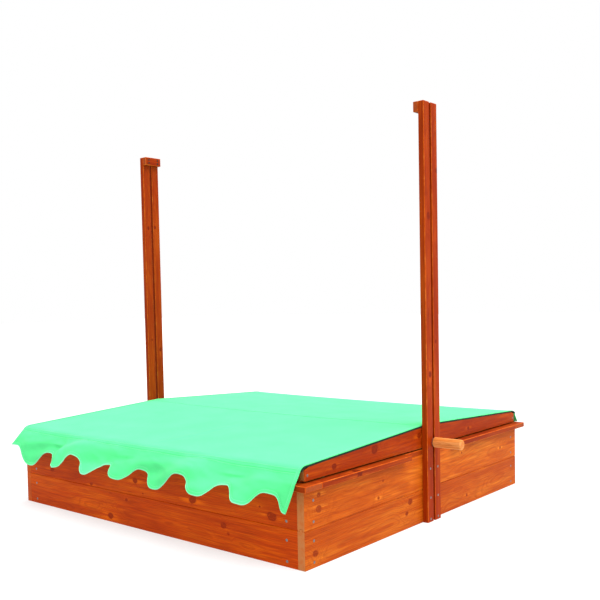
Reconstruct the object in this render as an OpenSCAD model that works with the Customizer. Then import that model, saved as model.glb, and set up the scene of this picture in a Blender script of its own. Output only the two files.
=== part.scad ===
// Square wooden sandbox with a roof that slides on two slotted posts.
// Lowered, the roof is the cover of the box. Raised and clamped, it is a sun shade.
// Origin: middle of the box, on the ground. +X right side, -Y front, +Z up.

/* [Box] */
// Outside width of the box, side wall to side wall
box_w = 1400; // [1100:10:1700]
// Outside depth of the box, front wall to back wall
box_d = 1400; // [1100:10:1700]
// Thickness of a wall board
wall_t = 26; // [20:1:32]
// Height of a lower wall board
lower_h = 114; // [90:1:150]
// Height of an upper wall board
upper_h = 120; // [90:1:150]
// Bevel along the joint of two wall boards
joint_bevel = 2; // [1:0.5:3]
// Thickness of the tongue between two wall boards
tongue_w = 8; // [5:1:9]
// Height of the tongue between two wall boards
tongue_h = 6; // [4:1:10]
// Size of a corner block along the front or back wall
block_w = 80; // [50:1:110]
// Size of a corner block along the side wall
block_d = 34; // [24:1:60]

/* [Rim] */
// Width of a rim board
rim_w = 80; // [75:1:100]
// Thickness of a rim board
rim_t = 18; // [15:1:24]
// How far the rim stands out past the wall
rim_out = 27; // [15:1:40]
// Length of the rim's recess on each side of a post
recess_l = 110; // [40:5:160]

/* [Posts] */
// Height of a post above the ground
post_h = 1430; // [1000:10:1800]
// Thickness of a post slat
slat_t = 21; // [16:1:30]
// Width of a post slat
slat_w = 38; // [30:1:60]
// Width of the slot between the two slats
slot_w = 12; // [10:0.5:16]
// Thickness of the stop block at the post's top
stop_t = 19; // [14:1:26]
// Height of the stop block
stop_h = 35; // [25:1:60]

/* [Roof frame] */
// Thickness of a gable board
gable_t = 20; // [16:1:28]
// Height of a gable board at its middle
gable_h = 75; // [65:1:130]
// Fall of a gable board's top edge from its middle to its end
gable_fall = 33; // [20:1:34]
// Depth of the bevel at a gable board's end
end_bevel_z = 9; // [4:1:12]
// Length of the bevel at a gable board's end
end_bevel_y = 28; // [10:1:40]
// How far the roof frame ends behind the front and back walls
roof_inset = 8; // [0:1:20]
// Thickness of the front and back beams
beam_t = 24; // [18:1:30]
// Width of the ridge batten
ridge_w = 40; // [30:1:60]
// Height of the ridge batten
ridge_h = 30; // [20:1:32]
// How far the ridge batten lies below the gable boards' peak
ridge_drop = 8; // [3:1:10]

/* [Cover cloth] */
// Thickness allowed for the cloth
cloth_t = 2.5; // [2:0.5:4]
// Bare strip of gable edge beside the cloth
cloth_inset = 4; // [0:1:10]
// How far the valance stands out from the roof's edge
valance_out = 102; // [100:1:120]
// How far the valance hangs down
valance_drop = 110; // [90:1:112]
// Width of one scallop along the valance
scallop_w = 180; // [100:5:300]
// Depth of a scallop, measured straight down
scallop_h = 56; // [20:1:60]
// Staples in each gable board's edge
staples = 14; // [6:1:24]

/* [Clamps] */
// Diameter of the clamp bolt
bolt_d = 8; // [6:1:9]
// Height of the bolt above the gable board's lower edge
bolt_up = 17; // [14:1:22]
// Diameter of the bolt's round head
bolt_head_d = 20; // [16:1:24]
// Height of the bolt's round head
bolt_head_h = 4.5; // [3:0.5:6]
// Length of thread inside the handle
bolt_grip = 24; // [18:1:32]
// Diameter of the washer
washer_d = 30; // [22:1:34]
// Thickness of the washer
washer_t = 2; // [1:0.5:3]
// Diameter of the clamp handle
handle_d = 35; // [28:1:45]
// Length of the clamp handle
handle_l = 105; // [70:1:150]
// Bevel on the handle's ends
handle_bevel = 3; // [1:0.5:5]
// Outside diameter of the threaded insert
insert_d = 12; // [11:0.5:14]
// Length of the threaded insert
insert_l = 18; // [12:1:18]

/* [Screws] */
// Diameter of a screw's head
head_d = 8.5; // [6:0.5:10]
// Diameter of a screw's shank
shank_d = 4; // [3:0.5:5]
// Length of a screw
screw_l = 45; // [35:1:60]
// Length of the short screws in rim and stop blocks
short_screw_l = 35; // [30:1:40]
// Screws along one rim board
rim_screws_per_board = 5; // [3:1:8]

/* [Clearances] */
// Gap that keeps the roof's beams off the rim
rest_gap = 0.3; // [0.2:0.1:1]
// Height of the gable boards above the rim
gable_gap = 5; // [3:0.5:10]
// Gap between a gable board and its post
post_gap = 1.5; // [1:0.1:3]
// Gap round the tongue in its groove
tongue_gap = 0.25; // [0.1:0.05:0.6]
// Gap between the cloth and the roof frame
cloth_gap = 0.3; // [0.2:0.1:1]
// Radial gap of the bolt in the gable board
bolt_gap = 0.25; // [0.1:0.05:0.6]
// Radial gap of the bolt in the threaded insert
thread_gap = 0.05; // [0.02:0.01:0.1]
// Height of a screw's head above the wood
proud = 0.3; // [0.2:0.1:0.6]

/* [Hidden] */

wood = "#c4662c";
pale_wood = "#d68a4e";
mint = "#5ce0a4";
steel = "#b9bcc0";
brass = "#c8a24a";

wall_h = lower_h + upper_h;
rim_top = wall_h + rim_t;
post_w = 2 * slat_w + slot_w;
slat_y = (slot_w + slat_w) / 2;
recess_y = post_w / 2 + recess_l;
rim_in = rim_w - rim_out;

// Roof frame, with the roof down
gable_x = box_w / 2 - post_gap;
gable_in = gable_x - gable_t;
roof_y = box_d / 2 - roof_inset;
gable_low = rim_top + gable_gap;
peak_z = gable_low + gable_h;
eave_z = peak_z - gable_fall;
end_z = eave_z - end_bevel_z;
slope = gable_fall / roof_y;
bolt_z = gable_low + bolt_up;

// Clamp, outwards along X from the post
washer_x = box_w / 2 + slat_t;
handle_x = washer_x + washer_t;
tip_gap = 0.5;
tip_room = 4;

// Cloth
cloth_x = gable_x - cloth_inset;
fold_out = 1.5;
cloth_y = roof_y + fold_out;
hem_y = roof_y + valance_out;
hem_z = end_z + cloth_gap + cloth_t - valance_drop;
wave_steps = 12;
staple_in = 6;
staple_ridge = 25;
staple_end = 20;

// Screw rows: heights on the walls and on the posts
lower_rows = [0.15 * lower_h, 0.7 * lower_h];
upper_rows = [lower_h + 0.18 * upper_h, lower_h + 0.7 * upper_h];
wall_rows = concat(lower_rows, upper_rows);
post_rows = [0.1 * lower_h, 0.75 * lower_h, lower_h + 0.6 * upper_h];
stop_rows = [0.3 * stop_h, 0.7 * stop_h];
screw_y = box_d / 2 - wall_t - block_d / 2;
screw_x = box_w / 2 - wall_t - block_w / 2;
rim_screw_end = 60;
rim_screw_post = 40;

// How far a cutting shape reaches past what it cuts
past = 1;

$fn = 48;

// ---- Shapes that repeat ----

// A closed outline in (x, z), drawn out along Y and centred on it
module along_y(length) {
    translate([0, length / 2, 0])
        rotate([90, 0, 0])
            linear_extrude(height = length)
                children();
}

// A closed outline in (y, z), drawn out along X from zero
module along_x(length) {
    rotate([90, 0, 90])
        linear_extrude(height = length)
            children();
}

// Section of a lower board: outer face at x = 0, tongue on top
module lower_section() {
    mid = wall_t / 2;
    polygon([
        [0, 0],
        [wall_t, 0],
        [wall_t, lower_h - joint_bevel],
        [wall_t - joint_bevel, lower_h],
        [mid + tongue_w / 2, lower_h],
        [mid + tongue_w / 2, lower_h + tongue_h],
        [mid - tongue_w / 2, lower_h + tongue_h],
        [mid - tongue_w / 2, lower_h],
        [joint_bevel, lower_h],
        [0, lower_h - joint_bevel]]);
}

// Section of an upper board: outer face at x = 0, groove below
module upper_section() {
    mid = wall_t / 2;
    half = tongue_w / 2 + tongue_gap;
    deep = tongue_h + tongue_gap;
    polygon([
        [joint_bevel, 0],
        [mid - half, 0],
        [mid - half, deep],
        [mid + half, deep],
        [mid + half, 0],
        [wall_t - joint_bevel, 0],
        [wall_t, joint_bevel],
        [wall_t, upper_h],
        [0, upper_h],
        [0, joint_bevel]]);
}

// A side wall's board: it runs through to the front and back faces
module side_board(upper) {
    translate([-box_w / 2, 0, upper ? lower_h : 0])
        along_y(box_d)
            if (upper) upper_section();
            else lower_section();
}

// A front or back wall's board: it fits between the side walls
module front_board(upper) {
    rotate([0, 0, 90])
        translate([-box_d / 2, 0, upper ? lower_h : 0])
            along_y(box_w - 2 * wall_t)
                if (upper) upper_section();
                else lower_section();
}

module corner_block() {
    translate([-box_w / 2 + wall_t, -box_d / 2 + wall_t, 0])
        cube([block_w, block_d, wall_h]);
}

// Full length rim board on the front wall
module front_rim() {
    translate([-box_w / 2 - rim_out, -box_d / 2 - rim_out, wall_h])
        cube([box_w + 2 * rim_out, rim_w, rim_t]);
}

// Rim board on the left wall, cut back to the wall's face beside the post
module side_rim() {
    side_l = box_d + 2 * rim_out - 2 * rim_w;
    translate([-box_w / 2, 0, wall_h])
        difference() {
            translate([-rim_out, -side_l / 2, 0])
                cube([rim_w, side_l, rim_t]);
            translate([-rim_out - past, -recess_y, -past])
                cube([rim_out + past, 2 * recess_y, rim_t + 2 * past]);
        }
}

// Back slat of the left post
module post_slat() {
    translate([-box_w / 2 - slat_t, slot_w / 2, 0])
        cube([slat_t, slat_w, post_h]);
}

// Block across both slats at the top, which stops the roof
module stop_block() {
    translate([-box_w / 2, -post_w / 2, post_h - stop_h])
        cube([stop_t, post_w, stop_h]);
}

// Gable board of the left side, with the hole for its clamp bolt
module gable_board() {
    bevel_top = eave_z + slope * end_bevel_y;
    difference() {
        translate([-gable_x, 0, 0])
            along_x(gable_t)
                polygon([
                    [-roof_y, gable_low],
                    [roof_y, gable_low],
                    [roof_y, end_z],
                    [roof_y - end_bevel_y, bevel_top],
                    [0, peak_z],
                    [-roof_y + end_bevel_y, bevel_top],
                    [-roof_y, end_z]]);
        translate([-gable_x - past, 0, bolt_z])
            rotate([0, 90, 0])
                cylinder(r = bolt_d / 2 + bolt_gap, h = gable_t + 2 * past);
    }
}

// Beam between the gable boards that rests on the front rim
module cross_beam() {
    low = rim_top + rest_gap;
    translate([-gable_in, -roof_y, low])
        cube([2 * gable_in, beam_t, end_z - low]);
}

// Height of the front valance's scalloped edge at x, with its lowest point at the right end
function wave(x) =
    hem_z + scallop_h / 2 * (1 - cos(360 * (cloth_x - x) / scallop_w));

// Everything below the front valance's scalloped edge
module below_wave() {
    step = scallop_w / wave_steps;
    count = ceil(2 * cloth_x / step);
    rotate([90, 0, 0])
        linear_extrude(height = hem_y + past)
            polygon(concat(
                [[cloth_x + past, hem_z - past],
                 [cloth_x + past, hem_z]],
                [for (i = [0 : count])
                    let (x = max(cloth_x - i * step, -cloth_x))
                        [x, wave(x)]],
                [[-cloth_x - past, wave(-cloth_x)],
                 [-cloth_x - past, hem_z - past]]));
}

// Upper line of the cloth from the ridge to one hem
function cloth_line() = let (up = cloth_gap + cloth_t) [
    [roof_y - end_bevel_y, eave_z + slope * end_bevel_y + up],
    [cloth_y, end_z + up],
    [hem_y, hem_z]];

// Bolt of the left clamp, with its head inside the roof frame
module clamp_bolt() {
    shank = handle_x + bolt_grip - gable_in;
    dome_r = (pow(bolt_head_d / 2, 2) + pow(bolt_head_h, 2)) / (2 * bolt_head_h);
    translate([-gable_in, 0, bolt_z])
        rotate([0, -90, 0])
            union() {
                cylinder(r = bolt_d / 2, h = shank);
                intersection() {
                    translate([0, 0, dome_r - bolt_head_h])
                        sphere(r = dome_r, $fn = 96);
                    translate([0, 0, -bolt_head_h - past])
                        cylinder(r = bolt_head_d / 2, h = bolt_head_h + past);
                }
            }
}

module washer() {
    translate([-washer_x, 0, bolt_z])
        rotate([0, -90, 0])
            difference() {
                cylinder(r = washer_d / 2, h = washer_t);
                translate([0, 0, -past])
                    cylinder(r = bolt_d / 2 + bolt_gap, h = washer_t + 2 * past);
            }
}

// Threaded insert in the end of the left handle
module threaded_insert() {
    translate([-handle_x, 0, bolt_z])
        rotate([0, -90, 0])
            difference() {
                cylinder(r = insert_d / 2, h = insert_l);
                translate([0, 0, -past])
                    cylinder(r = bolt_d / 2 + thread_gap, h = insert_l + 2 * past);
            }
}

// Round handle of the left clamp, with its stepped blind hole
module handle() {
    r = handle_d / 2;
    tip_r = bolt_d / 2 + tip_gap;
    tip_l = bolt_grip + tip_room;
    translate([-handle_x, 0, bolt_z])
        rotate([0, -90, 0])
            rotate_extrude()
                polygon([
                    [insert_d / 2, 0],
                    [r - handle_bevel, 0],
                    [r, handle_bevel],
                    [r, handle_l - handle_bevel],
                    [r - handle_bevel, handle_l],
                    [0, handle_l],
                    [0, tip_l],
                    [tip_r, tip_l],
                    [tip_r, insert_l],
                    [insert_d / 2, insert_l]]);
}

// A countersunk screw that points down from z = 0
module screw(length) {
    cone_h = (head_d - shank_d) / 2;
    rotate_extrude($fn = 24)
        polygon([
            [0, proud],
            [head_d / 2, proud],
            [head_d / 2, 0],
            [shank_d / 2, -cone_h],
            [shank_d / 2, -length + shank_d],
            [0, -length]]);
}

module screw_left(x, y, z, length) {
    translate([x, y, z])
        rotate([0, -90, 0])
            screw(length);
}

module screw_front(x, y, z, length) {
    translate([x, y, z])
        rotate([90, 0, 0])
            screw(length);
}

module both_x() {
    children();
    mirror([1, 0, 0]) children();
}

module both_y() {
    children();
    mirror([0, 1, 0]) children();
}

// ---- Box ----

module front_lower_board() { color(wood) front_board(false); }
module front_upper_board() { color(wood) front_board(true); }
module back_lower_board() { color(wood) mirror([0, 1, 0]) front_board(false); }
module back_upper_board() { color(wood) mirror([0, 1, 0]) front_board(true); }
module left_lower_board() { color(wood) side_board(false); }
module left_upper_board() { color(wood) side_board(true); }
module right_lower_board() { color(wood) mirror([1, 0, 0]) side_board(false); }
module right_upper_board() { color(wood) mirror([1, 0, 0]) side_board(true); }
module front_left_corner_block() { color(wood) corner_block(); }
module front_right_corner_block() { color(wood) mirror([1, 0, 0]) corner_block(); }
module back_left_corner_block() { color(wood) mirror([0, 1, 0]) corner_block(); }
module back_right_corner_block() { color(wood) rotate([0, 0, 180]) corner_block(); }

// ---- Rim ----

module front_rim_board() { color(wood) front_rim(); }
module back_rim_board() { color(wood) mirror([0, 1, 0]) front_rim(); }
module left_rim_board() { color(wood) side_rim(); }
module right_rim_board() { color(wood) mirror([1, 0, 0]) side_rim(); }

// ---- Posts ----

module left_post_front_slat() { color(wood) mirror([0, 1, 0]) post_slat(); }
module left_post_back_slat() { color(wood) post_slat(); }
module right_post_front_slat() { color(wood) rotate([0, 0, 180]) post_slat(); }
module right_post_back_slat() { color(wood) mirror([1, 0, 0]) post_slat(); }
module left_stop_block() { color(wood) stop_block(); }
module right_stop_block() { color(wood) mirror([1, 0, 0]) stop_block(); }

// ---- Roof ----

module left_gable_board() { color(wood) gable_board(); }
module right_gable_board() { color(wood) mirror([1, 0, 0]) gable_board(); }
module front_beam() { color(wood) cross_beam(); }
module back_beam() { color(wood) mirror([0, 1, 0]) cross_beam(); }

module ridge_batten() {
    color(wood)
        translate([-gable_in, -ridge_w / 2, peak_z - ridge_drop - ridge_h])
            cube([2 * gable_in, ridge_w, ridge_h]);
}

module cover_cloth() {
    line = cloth_line();
    peak = [0, peak_z + cloth_gap + cloth_t];
    upper = concat([for (i = [2 : -1 : 0]) [-line[i].x, line[i].y]], [peak], line);
    lower = [for (i = [len(upper) - 1 : -1 : 0]) upper[i] - [0, cloth_t]];
    color(mint)
        difference() {
            translate([-cloth_x, 0, 0])
                along_x(2 * cloth_x)
                    polygon(concat(upper, lower));
            below_wave();
            rotate([0, 0, 180]) below_wave();
        }
}

// ---- Clamps ----

module left_clamp_bolt() { color(steel) clamp_bolt(); }
module right_clamp_bolt() { color(steel) mirror([1, 0, 0]) clamp_bolt(); }
module left_washer() { color(steel) washer(); }
module right_washer() { color(steel) mirror([1, 0, 0]) washer(); }
module left_threaded_insert() { color(brass) threaded_insert(); }
module right_threaded_insert() { color(brass) mirror([1, 0, 0]) threaded_insert(); }
module left_handle() { color(pale_wood) handle(); }
module right_handle() { color(pale_wood) mirror([1, 0, 0]) handle(); }

// ---- Screws ----

// Two screws a board at each end of each wall, into the corner blocks
module wall_screws() {
    color(steel)
        both_x()
            both_y()
                for (z = wall_rows) {
                    screw_front(screw_x, -box_d / 2, z, screw_l);
                    screw_left(-box_w / 2, screw_y, z, screw_l);
                }
}

// Down through the rim boards into the walls
module rim_screws() {
    front_step = (box_w - 2 * wall_t) / (rim_screws_per_board - 1);
    side_end = box_d / 2 + rim_out - rim_w - rim_screw_end;
    color(steel) {
        both_y()
            for (i = [0 : rim_screws_per_board - 1])
                translate([-box_w / 2 + wall_t + i * front_step, -box_d / 2 + wall_t / 2, rim_top])
                    screw(short_screw_l);
        both_x()
            both_y()
                for (y = [side_end, recess_y + rim_screw_post])
                    translate([-box_w / 2 + wall_t / 2, y, rim_top])
                        screw(short_screw_l);
    }
}

// Through each slat's foot into the side wall
module post_screws() {
    color(steel)
        both_x()
            both_y()
                for (z = post_rows)
                    screw_left(-box_w / 2 - slat_t, slat_y, z, screw_l);
}

// Through the stop blocks into the slats, from the inner side
module stop_block_screws() {
    color(steel)
        both_x()
            both_y()
                for (down = stop_rows)
                    translate([-box_w / 2 + stop_t, slat_y, post_h - down])
                        rotate([0, 90, 0])
                            screw(short_screw_l);
}

// Through the gable boards into the ends of the beams and the ridge batten
module roof_screws() {
    beam_mid = roof_y - beam_t / 2;
    ridge_mid = peak_z - ridge_drop - ridge_h / 2;
    color(steel)
        both_x() {
            both_y() {
                screw_left(-gable_x, beam_mid, (gable_low + end_z) / 2, screw_l);
                screw_left(-gable_x, ridge_w / 4, ridge_mid, screw_l);
            }
        }
}

// One wire staple: a crown on the cloth and two legs in the wood
module staple() {
    crown = 10;
    wire = 0.9;
    leg = 8;
    translate([-wire / 2, -crown / 2, 0])
        cube([wire, crown, wire]);
    for (y = [-crown / 2, crown / 2 - wire])
        translate([-wire / 2, y, -leg])
            cube([wire, wire, leg + wire]);
}

// Along both gable boards' top edges
module cloth_staples() {
    reach = roof_y - end_bevel_y - staple_end;
    per_side = floor(staples / 2);
    step = (reach - staple_ridge) / (per_side - 1);
    color(steel)
        both_x()
            both_y()
                for (i = [0 : per_side - 1])
                    let (y = staple_ridge + i * step)
                        translate([-cloth_x + staple_in, y, peak_z + cloth_gap + cloth_t - slope * y])
                            rotate([-atan(slope), 0, 0])
                                staple();
}

front_lower_board();
front_upper_board();
back_lower_board();
back_upper_board();
left_lower_board();
left_upper_board();
right_lower_board();
right_upper_board();
front_left_corner_block();
front_right_corner_block();
back_left_corner_block();
back_right_corner_block();
front_rim_board();
back_rim_board();
left_rim_board();
right_rim_board();
left_post_front_slat();
left_post_back_slat();
right_post_front_slat();
right_post_back_slat();
left_stop_block();
right_stop_block();
left_gable_board();
right_gable_board();
front_beam();
back_beam();
ridge_batten();
cover_cloth();
left_clamp_bolt();
right_clamp_bolt();
left_washer();
right_washer();
left_threaded_insert();
right_threaded_insert();
left_handle();
right_handle();
wall_screws();
rim_screws();
post_screws();
stop_block_screws();
roof_screws();
cloth_staples();
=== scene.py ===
"""Looks of the sandbox with cover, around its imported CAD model. Metres, in the row frame:
+X is the right side, -Y the front, +Z up, and the ground is z = 0."""

import math
import random

import bpy
from mathutils import Matrix, Vector, noise


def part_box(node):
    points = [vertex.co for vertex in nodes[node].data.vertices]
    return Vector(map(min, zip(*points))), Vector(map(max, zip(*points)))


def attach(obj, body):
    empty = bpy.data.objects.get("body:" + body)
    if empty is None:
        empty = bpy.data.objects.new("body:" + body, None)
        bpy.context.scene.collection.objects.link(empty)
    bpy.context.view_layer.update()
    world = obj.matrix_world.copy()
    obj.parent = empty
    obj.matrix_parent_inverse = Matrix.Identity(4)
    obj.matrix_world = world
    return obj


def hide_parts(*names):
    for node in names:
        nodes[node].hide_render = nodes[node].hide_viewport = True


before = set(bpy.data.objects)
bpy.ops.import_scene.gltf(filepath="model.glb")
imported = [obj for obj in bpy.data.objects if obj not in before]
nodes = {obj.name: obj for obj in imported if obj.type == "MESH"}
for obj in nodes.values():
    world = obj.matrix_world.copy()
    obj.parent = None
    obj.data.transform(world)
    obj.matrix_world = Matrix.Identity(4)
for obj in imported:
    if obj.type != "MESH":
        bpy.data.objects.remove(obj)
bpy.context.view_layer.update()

MM = 0.001
X, Y, Z = 0, 1, 2


# ---------------------------------------------------------------- camera, light, floor

def add_camera():
    """The photograph's viewpoint: low, in front of the right-hand corner, with a slight roll."""
    azimuth, elevation, roll = math.radians(42.24), math.radians(2.98), math.radians(-1.35)
    back = Vector((
        math.sin(azimuth) * math.cos(elevation),
        -math.cos(azimuth) * math.cos(elevation),
        math.sin(elevation),
    ))
    level = Vector((math.cos(azimuth), math.sin(azimuth), 0))
    right = level * math.cos(roll) + back.cross(level) * math.sin(roll)
    turn = Matrix((right, back.cross(right), back)).transposed()
    camera = bpy.data.objects.new("camera", bpy.data.cameras.new("camera"))
    bpy.context.scene.collection.objects.link(camera)
    camera.matrix_world = Matrix.Translation((2.1254, -2.5025, 0.7731)) @ turn.to_4x4()
    camera.data.lens = 49.11
    camera.data.sensor_width = 36
    camera.data.shift_x = 0.0917
    camera.data.shift_y = 0.0733
    bpy.context.scene.camera = camera


def add_sun(place, strength, angle):
    """A broad sun that shines from a place towards the origin."""
    light = bpy.data.objects.new("key", bpy.data.lights.new("key", "SUN"))
    bpy.context.scene.collection.objects.link(light)
    light.rotation_euler = Vector(place).to_track_quat("Z", "Y").to_euler()
    light.data.energy = strength
    light.data.angle = math.radians(angle)


def add_studio():
    """White surroundings, a broad soft light from above on the right, and a pale floor."""
    scene = bpy.context.scene
    scene.view_settings.view_transform = "Standard"
    world = bpy.data.worlds.new("studio")
    scene.world = world
    world.use_nodes = True
    tree = world.node_tree
    background = tree.nodes["Background"]
    background.inputs["Color"].default_value = (1, 1, 1, 1)
    seen = tree.nodes.new("ShaderNodeLightPath")
    strength = tree.nodes.new("ShaderNodeMapRange")
    strength.inputs["To Min"].default_value = 0.80
    strength.inputs["To Max"].default_value = 1.0
    tree.links.new(seen.outputs["Is Camera Ray"], strength.inputs["Value"])
    tree.links.new(strength.outputs[0], background.inputs["Strength"])
    add_sun((3.2, 1.2, 8.2), 4.3, 75)
    bpy.ops.mesh.primitive_plane_add(size=60)
    floor = bpy.context.object
    floor.name = "floor"
    s = Shader("floor", roughness=0.9, emission_color=(1, 1, 1, 1), emission_strength=0.62)
    cloudy = s.noise(s.position(), 0.8, 3)
    s.colour(s.ramp(cloudy, (0.3, (0.35, 0.35, 0.35)), (0.7, (0.38, 0.38, 0.38))))
    floor.data.materials.append(s.material)


# ---------------------------------------------------------------- materials

class Shader:
    """One material, with short calls for the nodes that it is made of."""

    def __init__(self, name, **sockets):
        self.material = bpy.data.materials.new(name)
        self.material.use_nodes = True
        self.tree = self.material.node_tree
        self.surface = self.tree.nodes["Principled BSDF"]
        for socket, value in sockets.items():
            self.surface.inputs[socket.replace("_", " ").title().replace("Ior", "IOR")].default_value = value

    def node(self, kind, inputs=(), **settings):
        made = self.tree.nodes.new("ShaderNode" + kind)
        for key, value in settings.items():
            setattr(made, key, value)
        for key, value in dict(inputs).items():
            if isinstance(value, bpy.types.NodeSocket):
                self.tree.links.new(value, made.inputs[key])
            else:
                made.inputs[key].default_value = value
        return made

    def position(self):
        return self.node("TexCoord").outputs["Object"]

    def normal(self):
        return self.node("TexCoord").outputs["Normal"]

    def split(self, vector):
        return list(self.node("SeparateXYZ", {0: vector}).outputs)

    def join(self, x, y, z):
        return self.node("CombineXYZ", {0: x, 1: y, 2: z}).outputs[0]

    def math(self, operation, *values):
        return self.node("Math", dict(enumerate(values)), operation=operation).outputs[0]

    def distance(self, a, b):
        return self.node("VectorMath", {0: a, 1: b}, operation="DISTANCE").outputs["Value"]

    def noise(self, vector, scale, detail=2.0, roughness=0.5):
        inputs = {"Vector": vector, "Scale": scale, "Detail": detail, "Roughness": roughness}
        return self.node("TexNoise", inputs).outputs["Fac"]

    def ramp(self, value, *stops):
        """Colours or grey levels at places along a value."""
        made = self.node("ValToRGB", {0: value})
        elements = made.color_ramp.elements
        while len(elements) < len(stops):
            elements.new(0.5)
        for element, (place, colour) in zip(elements, stops):
            element.position = place
            colour = (colour,) * 3 if isinstance(colour, (int, float)) else colour
            element.color = (*colour, 1)
        return made.outputs[0]

    def smooth(self, value, low, high, to_low=0.0, to_high=1.0):
        inputs = {0: value, 1: low, 2: high, 3: to_low, 4: to_high}
        return self.node("MapRange", inputs, interpolation_type="SMOOTHSTEP").outputs[0]

    def mix(self, factor, a, b, blend="MIX"):
        made = self.node("Mix", data_type="RGBA", blend_type=blend)
        for socket, value in zip((made.inputs[0], made.inputs[6], made.inputs[7]), (factor, a, b)):
            if isinstance(value, bpy.types.NodeSocket):
                self.tree.links.new(value, socket)
            elif isinstance(value, tuple):
                socket.default_value = (*value, 1)
            else:
                socket.default_value = value
        return made.outputs[2]

    def colour(self, value):
        self.tree.links.new(value, self.surface.inputs["Base Color"])

    def roughness(self, value):
        self.tree.links.new(value, self.surface.inputs["Roughness"])

    def bump(self, height, depth, strength=1.0):
        inputs = {"Height": height, "Distance": depth, "Strength": strength}
        made = self.node("Bump", inputs)
        self.tree.links.new(made.outputs[0], self.surface.inputs["Normal"])


# Stained pine, from the lightest streaks to the darkest rings
PALE_STAIN = (0.72, 0.175, 0.016)
MID_STAIN = (0.52, 0.082, 0.004)
DEEP_STAIN = (0.38, 0.044, 0.001)
LATE_WOOD = (0.33, 0.033, 0.001)
KNOT_HEART = (0.26, 0.030, 0.002)
KNOT_RIM = (0.11, 0.010, 0.001)
END_GRAIN = (0.50, 0.200, 0.066)
# Colour of the boards' rounded edges: stain worn thin, and a painted highlight that makes them lighter, as
# edges that catch the light.
ARRIS_WEAR_AND_HIGHLIGHT = (0.60, 0.155, 0.020)


def wood(name, grain, face, centre, seed, knots=(), tint=(1, 1, 1), ends=0.9, ring=4.2 * MM):
    """Planed and stained pine. grain and face are the axes along the board and across its wide face.
    knots are (place along the grain, place across the face, radius), in metres."""
    rng = random.Random(seed)
    deep = 3 - grain - face
    s = Shader(name, specular_ior_level=0.06)
    place = s.position()
    axes = s.split(place)
    along, wide, thick = axes[grain], axes[face], axes[deep]
    shifted = s.math("ADD", along, seed * 3.7)

    def stretched(length, width):
        """Object space with features that are far longer along the grain than across it."""
        scales = ((shifted, length), (wide, width), (thick, width))
        return s.join(*[s.math("MULTIPLY", axis, scale) for axis, scale in scales])

    # Year rings: distance from a pith line that wanders along the board
    pith_wide = centre[face] + rng.uniform(-0.03, 0.03)
    pith_deep = centre[deep] + rng.choice((-1, 1)) * rng.uniform(0.045, 0.085)
    bend_wide = s.math("MULTIPLY_ADD", s.noise(stretched(1.6, 5), 1.0, 3), 0.09, -0.045 - pith_wide)
    bend_deep = s.math("MULTIPLY_ADD", s.noise(stretched(1.6, 5), 1.7, 2), 0.05, -0.025 - pith_deep)
    from_wide = s.math("ADD", wide, bend_wide)
    from_deep = s.math("ADD", thick, bend_deep)
    radius = s.math("SQRT", s.math("ADD", s.math("POWER", from_wide, 2), s.math("POWER", from_deep, 2)))
    rings = s.math("DIVIDE", radius, ring)

    # Knots push the rings aside and close some of them into ovals
    ragged = s.math("MULTIPLY_ADD", s.noise(place, 55, 3), 0.9, 0.55)
    hearts = []
    for at, across, size in knots:
        away = s.distance(s.join(s.math("DIVIDE", along, 1.25), wide, 0.0), (at / 1.25, across, 0))
        away = s.math("MULTIPLY", s.math("DIVIDE", away, size), ragged)
        swell = s.math("EXPONENT", s.math("MULTIPLY", s.math("POWER", away, 2), -0.10))
        rings = s.math("ADD", rings, s.math("MULTIPLY", swell, 4.0))
        flame = s.distance(s.join(s.math("DIVIDE", along, 4.0), wide, 0.0), (at / 4.0, across, 0))
        hearts.append((away, s.math("DIVIDE", flame, size)))

    late = s.ramp(s.math("FRACT", rings), (0.0, 0.0), (0.5, 0.12), (0.82, 1.0), (0.93, 0.7), (1.0, 0.0))
    fibre = s.noise(stretched(9, 420), 1.0, 3, 0.65)
    streak = s.noise(stretched(3.5, 70), 1.0, 5, 0.62)
    cloud = s.noise(stretched(1.6, 7), 2.1, 3)

    tone = s.math("ADD", s.math("MULTIPLY", streak, 0.5), s.math("MULTIPLY", cloud, 0.5))
    colour = s.ramp(tone, (0.32, DEEP_STAIN), (0.50, MID_STAIN), (0.70, PALE_STAIN))
    colour = s.mix(s.math("MULTIPLY", late, 0.34), colour, LATE_WOOD)
    colour = s.mix(0.6, colour, s.ramp(fibre, (0.30, 0.40), (0.62, 1.0)), "MULTIPLY")
    flecks = s.smooth(s.noise(stretched(14, 150), 1.0, 2), 0.68, 0.76, 0, 0.5)
    colour = s.mix(flecks, colour, KNOT_RIM)
    for away, flame in hearts:
        colour = add_knot(s, colour, place, streak, away, flame)
    colour = s.mix(1.0, colour, tint, "MULTIPLY")

    # Sawn ends soak up less stain and show the rings as arcs
    end = s.smooth(s.math("ABSOLUTE", s.split(s.normal())[grain]), 0.75, 0.95, 0, ends)
    sawn = s.mix(s.math("MULTIPLY", late, 0.5), END_GRAIN, MID_STAIN)
    sawn = s.mix(s.smooth(s.noise(place, 60, 4), 0.40, 0.80, 0, 0.5), sawn, MID_STAIN)
    s.colour(s.mix(end, colour, sawn))
    s.roughness(s.math("MULTIPLY_ADD", fibre, 0.30, 0.40))
    height = s.math("ADD", s.math("MULTIPLY", fibre, 0.7), s.math("MULTIPLY", late, -0.35))
    for away, flame in hearts:
        height = s.math("ADD", height, s.smooth(away, 1.3, 0.9, 0, -0.5))
    s.bump(height, 0.35 * MM, 0.45)
    return s.material


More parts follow.
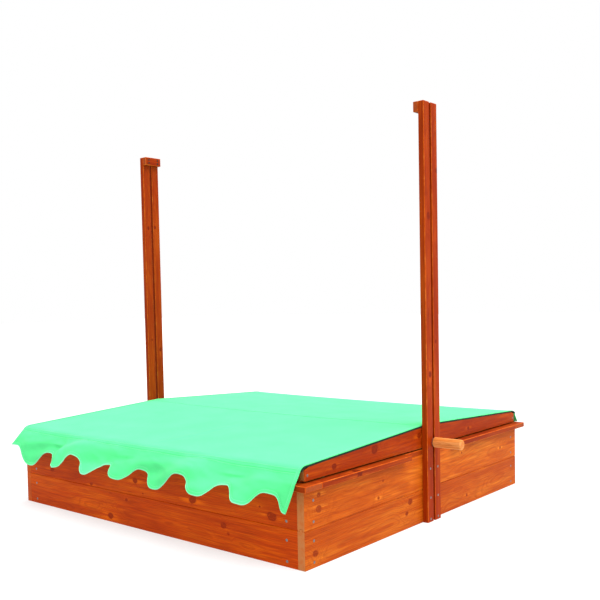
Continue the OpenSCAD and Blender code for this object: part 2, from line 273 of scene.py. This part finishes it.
def add_knot(s, colour, place, streak, away, flame):
    """Pale licks of grain beside a knot, then its dark halo, its rim and its mottled heart."""
    licks = s.math("MULTIPLY", s.smooth(flame, 1.6, 0.5), s.smooth(streak, 0.45, 0.62, 0, 0.75))
    colour = s.mix(licks, colour, PALE_STAIN)
    colour = s.mix(s.smooth(away, 1.7, 0.9, 0, 0.40), colour, LATE_WOOD)
    heart = s.mix(s.smooth(s.noise(place, 220, 3), 0.52, 0.76), KNOT_HEART, MID_STAIN)
    colour = s.mix(s.smooth(away, 1.08, 0.94, 0, 0.65), colour, KNOT_RIM)
    return s.mix(s.smooth(away, 0.96, 0.84, 0, 0.9), colour, heart)


def worn_highlit_arris():
    """The rounded edges of the boards, where the stain is worn thin; their lighter colour is also a painted
    highlight, as edges that catch the light.
    """
    s = Shader("worn_highlit_arris", specular_ior_level=0.06, roughness=0.6)
    place = s.position()
    wear_and_highlight = s.noise(place, 30, 4, 0.65)
    # Painted highlight and wear: the noise lifts the edges from the stain towards the lighter edge colour.
    s.colour(s.ramp(wear_and_highlight, (0.34, DEEP_STAIN), (0.52, MID_STAIN), (0.70, ARRIS_WEAR_AND_HIGHLIGHT)))
    s.bump(s.noise(place, 500, 2), 0.2 * MM, 0.4)
    return s.material


def metal(name, colour, roughness):
    """Plated or machined metal with fine scratches and a little dullness in patches."""
    s = Shader(name, metallic=1.0)
    place = s.position()
    patches = s.noise(place, 180, 3)
    scratches = s.noise(s.node("Mapping", {0: place, 3: (900, 60, 900)}).outputs[0], 3, 2)
    dull = tuple(c * 0.62 for c in colour)
    s.colour(s.ramp(patches, (0.35, dull), (0.65, colour)))
    s.roughness(s.math("MULTIPLY_ADD", scratches, 0.25, roughness))
    s.bump(scratches, 0.05 * MM, 0.4)
    return s.material


# Height below which the cloth hangs free; there its colour gets darker patches of painted shade, for the
# shade between its folds
VALANCE_TOP = 0.285


def woven(name, colour, deep_colour, thread=0.9 * MM):
    """Plain weave polyester: over-and-under threads, soft mottling, a faint sheen and, below VALANCE_TOP,
    patches of painted shade.
    """
    s = Shader(name, roughness=0.85, specular_ior_level=0.10, sheen_weight=0.06, sheen_roughness=0.5)
    place = s.position()
    x, y, z = s.split(place)
    down = s.math("SUBTRACT", y, z)
    turn = math.pi / thread
    warp = s.math("SINE", s.math("MULTIPLY", x, turn))
    weft = s.math("SINE", s.math("MULTIPLY", down, turn))
    over = s.math("MULTIPLY", warp, weft)
    slub = s.noise(s.join(s.math("MULTIPLY", x, 40), s.math("MULTIPLY", down, 700), 0.0), 1.0, 2)
    mottle = s.noise(place, 7, 4)
    tone = s.math("ADD", s.math("MULTIPLY", slub, 0.35), s.math("MULTIPLY", mottle, 0.65))
    tone = s.math("MULTIPLY_ADD", over, 0.03, tone)
    dyed = s.ramp(tone, (0.25, deep_colour), (0.70, colour))
    # Painted shade: on the hanging valance the colour darkens in noise patches towards a darker copy of the
    # dye, for the shade between its folds.
    hanging = s.smooth(z, VALANCE_TOP, VALANCE_TOP - 0.04)
    painted_fold_shade = s.smooth(s.noise(place, 4.5, 2), 0.32, 0.66, 0.08, 0.62)
    shade = tuple(c * 0.60 for c in deep_colour)
    s.colour(s.mix(s.math("MULTIPLY", hanging, painted_fold_shade), dyed, shade))
    s.bump(s.math("ADD", over, slub), 0.12 * MM, 0.45)
    return s.material


# ---------------------------------------------------------------- wood pieces

def random_knots(low, high, grain, face, seed, spacing=0.42):
    """Knots scattered over a board that has none listed."""
    rng = random.Random(seed * 7 + 1)
    count = max(1, round((high[grain] - low[grain]) / spacing))
    step = (high[grain] - low[grain]) / count
    width = high[face] - low[face]
    knots = []
    for i in range(count):
        at = low[grain] + (i + rng.uniform(0.15, 0.85)) * step
        across = low[face] + rng.uniform(0.2, 0.8) * width
        knots.append((at, across, rng.uniform(0.10, 0.2) * min(width, 0.07)))
    return knots


def soften(piece, width, arris):
    """Rounded arrises in the finish of the slot numbered arris. The CAD mesh itself stays as it is."""
    weld = piece.modifiers.new("weld", "WELD")
    weld.merge_threshold = 0.01 * MM
    merge = piece.modifiers.new("merge", "DECIMATE")
    merge.decimate_type = "DISSOLVE"
    merge.angle_limit = math.radians(0.5)
    bevel = piece.modifiers.new("arris", "BEVEL")
    bevel.width = width
    bevel.use_clamp_overlap = False
    bevel.segments = 2
    bevel.limit_method = "ANGLE"
    bevel.angle_limit = math.radians(40)
    bevel.material = arris
    flat = piece.modifiers.new("flat", "WEIGHTED_NORMAL")
    flat.mode = "FACE_AREA"
    flat.weight = 100
    flat.thresh = 0.01


# The first tint below, on the front and left boards, is partly painted shade: deeper and darker than the
# stain itself. The second, on the right side, the back and the corner blocks, is partly painted light:
# lighter than the stain itself.
FRONT_STAIN_AND_SHADE_TINT = (1.17, 0.83, 0.06)
SIDE_STAIN_AND_LIGHT_TINT = (1.10, 1.30, 1.1)
RIM_TINT = (0.60, 0.40, 0.22)
ROOF_TINT = (0.72, 0.47, 0.10)
POST_TINT = (0.69, 0.40, 0.09)
PALE_TINT = (1.45, 3.0, 12.0)
LOW_TINT = (0.92, 0.92, 0.6)
SAWN_ENDS, STAINED_ENDS = 0.9, 0.2
# Arris widths: the walls' narrow arrises keep each board's own finish; the wider ones take the worn edge
# finish with its painted highlight.
WALL_ARRIS, WORN_HIGHLIT_ARRIS = 0.8 * MM, 2.0 * MM

# node: (grain axis, wide face's axis, tint, knots listed one by one)
BOARDS = {
    "front_lower_board": (X, Z, FRONT_STAIN_AND_SHADE_TINT, [
        (-0.177, 0.022, 0.011), (-0.087, 0.092, 0.005), (0.381, 0.080, 0.009), (0.401, 0.057, 0.004)]),
    "front_upper_board": (X, Z, FRONT_STAIN_AND_SHADE_TINT, [
        (-0.527, 0.146, 0.009), (-0.037, 0.167, 0.009), (0.246, 0.141, 0.012), (0.579, 0.141, 0.013),
        (-0.284, 0.122, 0.006), (0.532, 0.163, 0.003), (0.002, 0.127, 0.003)]),
    "right_lower_board": (Y, Z, LOW_TINT, [
        (-0.125, 0.088, 0.010), (-0.148, 0.052, 0.007), (-0.652, 0.042, 0.009), (0.276, 0.034, 0.005)]),
    "right_upper_board": (Y, Z, SIDE_STAIN_AND_LIGHT_TINT, [
        (-0.631, 0.209, 0.007), (-0.632, 0.168, 0.010), (-0.290, 0.189, 0.004), (-0.318, 0.138, 0.005),
        (0.560, 0.170, 0.005), (0.240, 0.198, 0.003)]),
    "right_gable_board": (Y, Z, ROOF_TINT, [
        (-0.552, 0.278, 0.008), (-0.333, 0.296, 0.013), (-0.06, 0.302, 0.009), (0.296, 0.282, 0.006)]),
    "right_rim_board": (Y, X, RIM_TINT, [(-0.46, 0.716, 0.014), (0.30, 0.690, 0.009)]),
    "right_post_front_slat": (Z, Y, POST_TINT, [(0.51, -0.020, 0.008), (1.046, -0.020, 0.009)]),
    "right_post_back_slat": (Z, Y, POST_TINT, [(1.204, 0.040, 0.008), (0.62, 0.02, 0.005)]),
    "back_lower_board": (X, Z, SIDE_STAIN_AND_LIGHT_TINT, None),
    "back_upper_board": (X, Z, SIDE_STAIN_AND_LIGHT_TINT, None),
    "left_lower_board": (Y, Z, FRONT_STAIN_AND_SHADE_TINT, None),
    "left_upper_board": (Y, Z, FRONT_STAIN_AND_SHADE_TINT, None),
    "front_left_corner_block": (Z, X, SIDE_STAIN_AND_LIGHT_TINT, None),
    "front_right_corner_block": (Z, X, SIDE_STAIN_AND_LIGHT_TINT, None),
    "back_left_corner_block": (Z, X, SIDE_STAIN_AND_LIGHT_TINT, None),
    "back_right_corner_block": (Z, X, SIDE_STAIN_AND_LIGHT_TINT, None),
    "front_rim_board": (X, Y, RIM_TINT, None),
    "back_rim_board": (X, Y, RIM_TINT, None),
    "left_rim_board": (Y, X, RIM_TINT, None),
    "left_post_front_slat": (Z, Y, POST_TINT, None),
    "left_post_back_slat": (Z, Y, POST_TINT, None),
    "left_stop_block": (Y, Z, POST_TINT, []),
    "right_stop_block": (Y, Z, POST_TINT, []),
    "left_gable_board": (Y, Z, ROOF_TINT, None),
    "front_beam": (X, Z, ROOF_TINT, None),
    "back_beam": (X, Z, ROOF_TINT, None),
    "ridge_batten": (X, Y, ROOF_TINT, None),
}


def finish_wood():
    arris = worn_highlit_arris()
    for seed, (name, (grain, face, tint, knots)) in enumerate(BOARDS.items(), start=1):
        low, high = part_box(name)
        if knots is None:
            knots = random_knots(low, high, grain, face, seed)
        stained = any(word in name for word in ("rim", "left", "stop"))
        ends = STAINED_ENDS if stained else SAWN_ENDS
        material = wood(name, grain, face, (low + high) / 2, seed, knots, tint, ends)
        dress(nodes[name], material, arris)
        if "upper" in name or "lower" in name:
            soften(nodes[name], WALL_ARRIS, arris=0)
        else:
            soften(nodes[name], WORN_HIGHLIT_ARRIS, arris=1)
    for seed, name in enumerate(("left_handle", "right_handle"), start=40):
        low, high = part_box(name)
        dress(nodes[name], wood(name, X, Z, (low + high) / 2, seed, (), PALE_TINT, ends=0.3, ring=2.5 * MM))


def dress(piece, *materials):
    piece.data.materials.clear()
    for material in materials:
        piece.data.materials.append(material)


def finish_metal():
    zinc = metal("zinc", (0.27, 0.25, 0.24), 0.42)
    finishes = {
        "insert": metal("brass", (0.75, 0.55, 0.25), 0.25),
        "stop_block_screws": metal("tarnished", (0.085, 0.060, 0.045), 0.55),
        "screws": zinc,
        "staples": zinc,
        "bolt": zinc,
        "washer": zinc,
    }
    for name, node in nodes.items():
        finish = next((made for word, made in finishes.items() if word in name), None)
        if finish:
            dress(node, finish)


# ---------------------------------------------------------------- cover cloth

def between(value, low, high):
    """0 at low, 1 at high, smooth in between."""
    t = min(1.0, max(0.0, (value - low) / (high - low)))
    return t * t * (3 - 2 * t)


def through(places, value):
    """Smooth curve through (place, height) pairs."""
    for (x0, y0), (x1, y1) in zip(places, places[1:]):
        if value <= x1:
            return y0 + (y1 - y0) * between(value, x0, x1)
    return places[-1][1]


class Cloth:
    """The cover's surface. x runs from side to side, and t from the ridge to a hem: the front's t
    is negative."""

    clear = 2.6 * MM
    deepest = 0.149
    shallowest = 0.092
    front_tuck, back_tuck = 8 * MM, 34 * MM
    turn_start = 0.679
    turn_length = 0.040
    fall = 33 * MM
    # Lobes of the scalloped edge, then the angle from the vertical at each lobe and each notch between
    front_lobes = (-0.785, -0.555, -0.378, -0.198, -0.021, 0.165, 0.357, 0.534, 0.700)
    front_flares = (52, 45, 33, 38, 37, 49, 42, 47, 44, 42, 40, 47, 46, 41, 43, 30, 33)
    back_lobes = (-0.700, -0.530, -0.350, -0.168, 0.015, 0.200, 0.385, 0.560, 0.800)
    back_flares = (38, 44, 41, 38, 40, 46, 44, 39, 38, 42, 45, 42, 38, 43, 42, 36, 35)
    pleat = -0.385
    point_lobe = -0.376
    point_width = 0.03
    point_depth = 13 * MM
    tuck_start = 0.62
    # Share of a plain cosine in the scallops' shape, which rounds their flanks
    roundness = 0.15
    # The valance is stiff this far past the fold, before its waves begin
    stiff = 15 * MM
    # The side edges hang straight: the waves die away between these
    calm_from, calm_to = 0.60, 0.68
    crease = 0.062

    def __init__(self):
        gable_low, gable_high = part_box("right_gable_board")
        self.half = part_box("cover_cloth")[1].x
        self.peak = gable_high.z
        self.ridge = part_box("ridge_batten")[1].z
        self.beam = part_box("front_beam")[1].z
        self.end = gable_high.y
        self.inner = gable_low.x
        self.gable_face = gable_high.x
        self.slope = self.fall / self.end
        rim_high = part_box("back_rim_board")[1]
        self.rim_y, self.rim_z = rim_high.y, rim_high.z

    def lobes(self, front):
        return self.front_lobes if front else self.back_lobes

    def top(self, x, y):
        """Height of the cloth over the frame."""
        v = abs(y)
        edge = min(1.0, abs(x) / self.inner)
        over_gable = self.peak - self.slope * v
        over_beams = self.ridge - (self.ridge - self.beam - 6 * MM) * max(0.0, v - 0.02) / (self.end - 0.03)
        side = edge ** 2.4
        sag = 3.5 * MM * math.sin(math.pi * min(1.0, v / self.end)) * (1 - side)
        ripple = 2.4 * noise.noise(Vector((x * 3.1, y * 2.3, 4.2)))
        ripple += 0.9 * noise.noise(Vector((x * 9, y * 7, 1.7)))
        crease = 2.2 * math.exp(-((x - self.crease - 0.05 * y) / 0.012) ** 2) * between(-y, 0.05, 0.35)
        free = (1 - side) * between(v, 0.0, 0.05)
        free *= 1 - between(v, self.turn_start - 0.06, self.turn_start)
        plain = over_beams + (over_gable - over_beams) * side - sag
        return plain + (ripple + crease) * free * MM + self.clear

    def length(self, x, front):
        """Length of the valance from the fold to the scalloped edge: broad lobes with round notches."""
        lobes = self.lobes(front)
        right = next(i for i in range(1, len(lobes)) if x <= lobes[i])
        share = (x - lobes[right - 1]) / (lobes[right] - lobes[right - 1])
        wave = 0.5 - 0.5 * math.cos(2 * math.pi * share)
        wave = self.roundness * wave + (1 - self.roundness) * between(wave, 0, 1)
        corner = (self.front_tuck if front else self.back_tuck) * between(x, self.tuck_start, self.half)
        away = abs(x - self.point_lobe) / self.point_width
        sharp = self.point_depth * away * math.exp(-0.5 * away ** 2) if front else 0.0
        return self.deepest - (self.deepest - self.shallowest) * wave - corner - sharp

    def flare(self, x, front):
        """Angle of the valance from the vertical."""
        lobes = self.lobes(front)
        flares = self.front_flares if front else self.back_flares
        places = [lobes[0]]
        for a, b in zip(lobes, lobes[1:]):
            places += [(a + b) / 2, b]
        return math.radians(through(list(zip(places, flares)), x))

    def point(self, x, t):
        """A point of the cloth. t is the distance from the ridge along the cloth."""
        front = t < 0
        out = abs(t)
        sign = -1.0 if front else 1.0
        if out <= self.turn_start:
            return Vector((x, sign * out, self.top(x, sign * out)))
        final = math.pi / 2 - self.flare(x, front)
        start = math.atan(self.slope)
        y = self.turn_start
        z = self.top(x, sign * y)
        steps = 14
        run = out - self.turn_start
        for i in range(steps):
            s = (i + 0.5) * run / steps
            angle = start + (final - start) * between(s, 0.0, self.turn_length)
            y += math.cos(angle) * run / steps
            z -= math.sin(angle) * run / steps
        hang = max(0.0, run - self.stiff) / self.deepest
        outward = Vector((0, sign * math.sin(final), math.cos(final)))
        at = Vector((x + self.gather(x, front) * hang, sign * y, z))
        return self.round_rim(at + outward * self.folds(x, hang, front), sign)

    def round_rim(self, at, sign):
        """Where the valance would pass through the rim's edge, it bends round it."""
        room, soft, steepness = 4 * MM, 6 * MM, 1.4
        least = self.rim_y + room - steepness * max(0.0, at.z - self.rim_z - room)
        short = least - sign * at.y
        if short <= -soft:
            return at
        push = short if short >= soft else (short + soft) ** 2 / (4 * soft)
        return at + Vector((0, sign * push, 0))

    def gather(self, x, front):
        """At the front pleat the cloth is drawn together sideways."""
        if not front:
            return 0.0
        return 0.42 * (self.pleat - x) * math.exp(-((x - self.pleat) / 0.06) ** 2)

    def folds(self, x, hang, front):
        """How far the cloth stands off the plain slope: soft waves and, at the front, one sharp pleat."""
        # All heights here are in millimetres
        phase = 0.4 if front else 2.1
        broad = 5.5 * math.sin(2 * math.pi * x / 0.30 + phase + 3.0 * hang)
        narrow = 3.0 * math.sin(2 * math.pi * x / 0.13 + 2 * phase - 4 * hang) * min(1.0, hang)
        crumple = 21.0 * noise.noise(Vector((x * 7 + hang * 2, hang * 2.2, 7.3 if front else 9.1)))
        dents = 2.5 * noise.noise(Vector((x * 22 - hang * 5, hang * 5, 3.1 if front else 5.9)))
        calm = 1 - 0.85 * between(abs(x), self.calm_from, self.calm_to)
        growth = min(1.0, 2.4 * hang) * (1.2 - 0.6 * hang)
        waves = (broad + narrow + crumple + dents) * calm * growth
        pleat = 0.0
        if front:
            away = x - self.pleat
            pleat = 17 * math.exp(-(away / 0.026) ** 2) * hang
            pleat -= 8 * math.exp(-((away + 0.055) / 0.03) ** 2) * hang
        return (waves + pleat) * MM

    def fold_at(self):
        return self.turn_start + 0.5 * self.turn_length

    def edge(self, x, front):
        """t of the scalloped edge."""
        return (-1 if front else 1) * (self.fold_at() + self.length(x, front))

    def normal(self, x, t):
        """Unit normal on the cloth's upper side."""
        step = 0.5 * MM
        a = self.point(x + step, t) - self.point(x - step, t)
        b = self.point(x, t + step) - self.point(x, t - step)
        return a.cross(b).normalized()


def grid_piece(name, rows, material, thickness=0.0, smooth=True):
    """A mesh from rows of points, all of one length."""
    width = len(rows[0])
    points = [p for row in rows for p in row]
    faces = [
        (r * width + c, r * width + c + 1, (r + 1) * width + c + 1, (r + 1) * width + c)
        for r in range(len(rows) - 1) for c in range(width - 1)
    ]
    mesh = bpy.data.meshes.new(name)
    mesh.from_pydata(points, [], faces)
    mesh.materials.append(material)
    piece = bpy.data.objects.new(name, mesh)
    bpy.context.scene.collection.objects.link(piece)
    if smooth:
        mesh.shade_smooth()
    if thickness:
        solid = piece.modifiers.new("thickness", "SOLIDIFY")
        solid.thickness = thickness
        solid.offset = -1
        solid.use_even_offset = False
    return piece


def spread(low, high, count):
    return [low + (high - low) * i / count for i in range(count + 1)]


COLUMNS = 288
TOP_ROWS, TURN_ROWS, HANG_ROWS = 46, 12, 22


def cloth_rows(cloth, columns):
    """Rows of t-values for each column, from the front hem over the ridge to the back hem."""
    start = cloth.turn_start
    fold_end = cloth.turn_start + cloth.turn_length
    rows = []
    for front in (True, False):
        sign = -1 if front else 1
        top = [[sign * t] * len(columns) for t in spread(0, start, TOP_ROWS)]
        turn = [[sign * t] * len(columns) for t in spread(start, fold_end, TURN_ROWS)[1:]]
        hang = [
            [sign * (fold_end + (abs(cloth.edge(x, front)) - fold_end) * share) for x in columns]
            for share in spread(0, 1, HANG_ROWS)[1:]
        ]
        rows.append(top + turn + hang)
    return rows[0][:0:-1] + rows[1]


def add_cloth():
    cloth = Cloth()
    mint = woven("mint_weave", (0.115, 0.89, 0.31), (0.088, 0.82, 0.262))
    thread = woven("mint_thread", (0.30, 0.93, 0.55), (0.20, 0.85, 0.42), 0.3 * MM)
    columns = spread(-cloth.half, cloth.half, COLUMNS)
    rows = cloth_rows(cloth, columns)
    points = [[cloth.point(x, t) for x, t in zip(columns, row)] for row in rows]
    sheet = grid_piece("cover_sheet", points, mint, 0.8 * MM)
    hem = add_hem(cloth, mint)
    edging = add_edging(cloth, thread)
    # The near-black strip is painted shadow, standing for the shade under the cloth's side edges.
    shadow_strip = add_shadow_strip(cloth, woven("painted_shadow_strip", (0.006, 0.022, 0.011), (0.003, 0.012, 0.006)))
    seams = add_seams(cloth, mint)
    stitches = add_stitches(cloth, thread)
    for piece in (sheet, hem, edging, shadow_strip, seams, stitches):
        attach(piece, "roof")
    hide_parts("cover_cloth")


HEM_WIDTH = 13 * MM
HEM_LIFT = 1 * MM


def add_hem(cloth, material):
    """The turned and sewn edge: a second layer of cloth all round, on the upper side."""
    inner = cloth.half - HEM_WIDTH
    columns = spread(-cloth.half, cloth.half, COLUMNS)
    strips = []
    for front in (True, False):
        sign = -1 if front else 1
        strips.append([
            [(x, cloth.edge(x, front) - sign * w) for x in columns]
            for w in spread(0, HEM_WIDTH, 3)
        ])
    for side in (-1, 1):
        first, last = cloth.edge(side * cloth.half, True), cloth.edge(side * cloth.half, False)
        strips.append([
            [(side * x, t) for t in spread(first + 0.5 * HEM_WIDTH, last - 0.5 * HEM_WIDTH, 260)]
            for x in spread(inner, cloth.half, 3)
        ])
    pieces = []
    for number, strip in enumerate(strips):
        rows = [[cloth.point(x, t) + cloth.normal(x, t) * HEM_LIFT for x, t in line] for line in strip]
        pieces.append(grid_piece(f"cover_hem_{number}", rows, material))
    return join("cover_hem", pieces)


def add_edging(cloth, material):
    """The overlocked thread along both scalloped edges."""
    columns = spread(-cloth.half, cloth.half, 2 * COLUMNS)
    # Section of the thread round the edge: millimetres in from the edge, then millimetres up
    section = ((0, -1.2), (-0.6, 0), (0, 1.6), (2.4, 1.7), (2.6, 0.8))
    pieces = []
    for front in (True, False):
        sign = -1 if front else 1
        rows = []
        for inward, up in section:
            rows.append([])
            for x in columns:
                t = cloth.edge(x, front)
                at = cloth.point(x, t - sign * inward * MM)
                rows[-1].append(at + cloth.normal(x, t) * up * MM)
        pieces.append(grid_piece(f"cover_edging_{front}", rows, material))
    return join("cover_edging", pieces)


def seam_places(cloth):
    """t of the seam beside the ridge, and of those that join the valances."""
    ridge_seam, past_turn = -30 * MM, 34 * MM
    below_fold = cloth.turn_start + past_turn
    return (ridge_seam, -below_fold, below_fold)


def add_seams(cloth, material):
    """Felled seams that stand up as narrow ribs."""
    columns = spread(-cloth.half + 2 * MM, cloth.half - 2 * MM, COLUMNS)
    section = ((-4.5 * MM, -0.1 * MM), (-3.6 * MM, 1.0 * MM), (3.0 * MM, 1.3 * MM), (3.6 * MM, -0.1 * MM))
    pieces = []
    for number, place in enumerate(seam_places(cloth)):
        rows = [
            [cloth.point(x, place + across) + cloth.normal(x, place) * high for x in columns]
            for across, high in section
        ]
        pieces.append(grid_piece(f"cover_seam_{number}", rows, material, smooth=False))
    return join("cover_seams", pieces)


def add_shadow_strip(cloth, material):
    """The strip under the cloth's side edges, which wraps the gable boards' top arris. Its near-black colour
    is painted shadow, for the shade under the cloth's edge.
    """
    width, thick, flap = 12 * MM, 1.7 * MM, 4.8 * MM
    inner, outer, top = cloth.half - width, cloth.gable_face, 0.7 * MM
    outline = (
        (inner, top), (outer + 0.6 * MM, top), (outer + 0.6 * MM, flap),
        (outer + 0.1 * MM, flap), (outer + 0.1 * MM, top + thick), (inner, top + thick),
    )
    reach = cloth.turn_start + 0.8 * cloth.turn_length
    pieces = []
    for side in (-1, 1):
        rows = []
        for x, under in outline + outline[:1]:
            rows.append([])
            for t in spread(-reach, reach, 300):
                at = cloth.point(side * min(x, cloth.half), t) - cloth.normal(side * cloth.half, t) * under
                rows[-1].append(at + Vector((side * (x - min(x, cloth.half)), 0, 0)))
        pieces.append(grid_piece(f"cover_shadow_strip_{side}", rows, material))
    return join("cover_shadow_strip", pieces)


def join(name, pieces):
    bpy.ops.object.select_all(action="DESELECT")
    for piece in pieces:
        piece.select_set(True)
    bpy.context.view_layer.objects.active = pieces[0]
    bpy.ops.object.join()
    pieces[0].name = name
    return pieces[0]


STITCH_INSET = 10 * MM


def stitch_lines(cloth):
    """Lines of (x, t) that the needle follows: beside both scalloped edges, both sides and each seam."""
    inside = cloth.half - STITCH_INSET
    across = spread(-inside, inside, 2400)
    lines = []
    for front in (True, False):
        sign = -1 if front else 1
        lines.append([(x, cloth.edge(x, front) - sign * STITCH_INSET) for x in across])
    for side in (-1, 1):
        first, last = cloth.edge(side * cloth.half, True), cloth.edge(side * cloth.half, False)
        places = spread(first + 2 * STITCH_INSET, last - 2 * STITCH_INSET, 2800)
        lines.append([(side * inside, t) for t in places])
    for place in seam_places(cloth):
        for beside in (-8 * MM, 7 * MM):
            lines.append([(x, place + beside) for x in across])
    return lines


def stitch_corners(start, ahead, normal):
    """The eight corners of one stitch, a small flat bar on the cloth."""
    long, wide, low, high = 4.2 * MM, 0.9 * MM, 0.6 * MM, 1.1 * MM
    across = ahead.cross(normal).normalized() * wide / 2
    return [
        end + side * across + normal * lift
        for end in (start, start + ahead * long) for lift in (low, high) for side in (-1, 1)
    ]


def add_stitches(cloth, material):
    """Rows of lockstitches along the hem and the seams."""
    pitch = 5.8 * MM
    box_faces = ((0, 1, 3, 2), (4, 6, 7, 5), (0, 4, 5, 1), (2, 3, 7, 6), (0, 2, 6, 4), (1, 5, 7, 3))
    points, faces = [], []
    for line in stitch_lines(cloth):
        path = [cloth.point(x, t) for x, t in line]
        since, begin = 0.0, 0
        for i in range(1, len(path)):
            since += (path[i] - path[i - 1]).length
            if since < pitch:
                continue
            first = len(points)
            ahead = (path[i] - path[begin]).normalized()
            points += stitch_corners(path[begin], ahead, cloth.normal(*line[begin]))
            faces += [tuple(first + corner for corner in face) for face in box_faces]
            since, begin = 0.0, i
    mesh = bpy.data.meshes.new("cover_stitches")
    mesh.from_pydata(points, [], faces)
    mesh.materials.append(material)
    piece = bpy.data.objects.new("cover_stitches", mesh)
    bpy.context.scene.collection.objects.link(piece)
    return piece


# ---------------------------------------------------------------- the scene

add_camera()
add_studio()
finish_wood()
finish_metal()
add_cloth()
